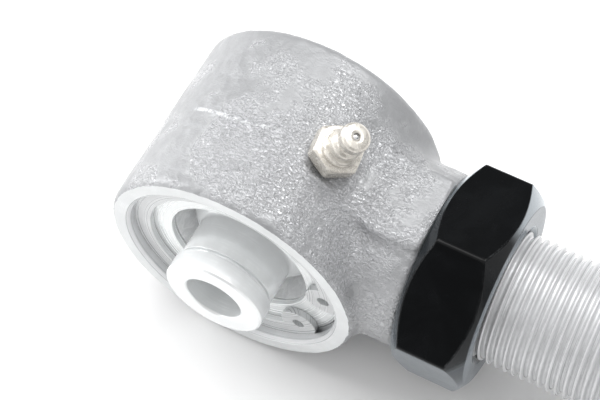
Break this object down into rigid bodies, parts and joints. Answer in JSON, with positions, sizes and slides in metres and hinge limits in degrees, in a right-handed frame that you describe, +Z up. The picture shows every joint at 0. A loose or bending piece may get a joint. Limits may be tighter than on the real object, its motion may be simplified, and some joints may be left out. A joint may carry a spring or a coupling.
{
  "type": "tie rod end",
  "caption": "Greasable spherical rod end: forged eye with a swivelling ball, races, washer and snap ring, on a threaded shank with a jam nut.",
  "frame": {"origin": "centre of the ball, in the middle of the bolt hole", "axes": "+X along the threaded shank, away from the eye; +Y along the bolt hole, away from the snap ring; +Z up through the grease fitting's side"},
  "size_m": [0.1588, 0.0636, 0.0735],
  "materials": {
    "forged_steel": "rough as-forged skin, machined rim, bore and thread",
    "polished_ball_steel": "polished",
    "race_polymer": "satin",
    "zinc_washer": "bright zinc",
    "spring_steel": "phosphate",
    "fitting_zinc": "yellow zinc",
    "check_steel": "polished",
    "nut_black_oxide": "glossy black oxide"
  },
  "bodies": {
    "housing": {"forged_housing": "forged_steel", "washer_front": "zinc_washer", "washer_back": "zinc_washer", "snap_ring": "spring_steel", "fitting_body": "fitting_zinc", "fitting_spring": "spring_steel"},
    "races": {"race_front": "race_polymer", "race_back": "race_polymer"},
    "ball": {"ball": "polished_ball_steel"},
    "check_ball": {"fitting_check_ball": "check_steel"},
    "jam_nut": {"jam_nut": "nut_black_oxide"}
  },
  "joints": [
    {"name": "ball_spin", "type": "hinge", "parent": "housing", "child": "races", "pos_m": [0, 0, 0], "axis": [0, 1, 0], "continuous": true},
    {"name": "ball_tilt", "type": "hinge", "parent": "races", "child": "ball", "pos_m": [0, 0, 0], "axis": [1, 0, 0], "range_deg": [-15, 15]},
    {"name": "check_ball_press", "type": "slide", "parent": "housing", "child": "check_ball", "axis": [-0.454, 0, -0.891], "range_m": [0, 0.0006], "stiffness_N_per_m": 400, "springref_m": -0.002, "deforming": ["fitting_spring"]},
    {"name": "nut_travel", "type": "slide", "parent": "housing", "child": "jam_nut", "axis": [1, 0, 0], "range_m": [0, 0.065]}
  ]
}
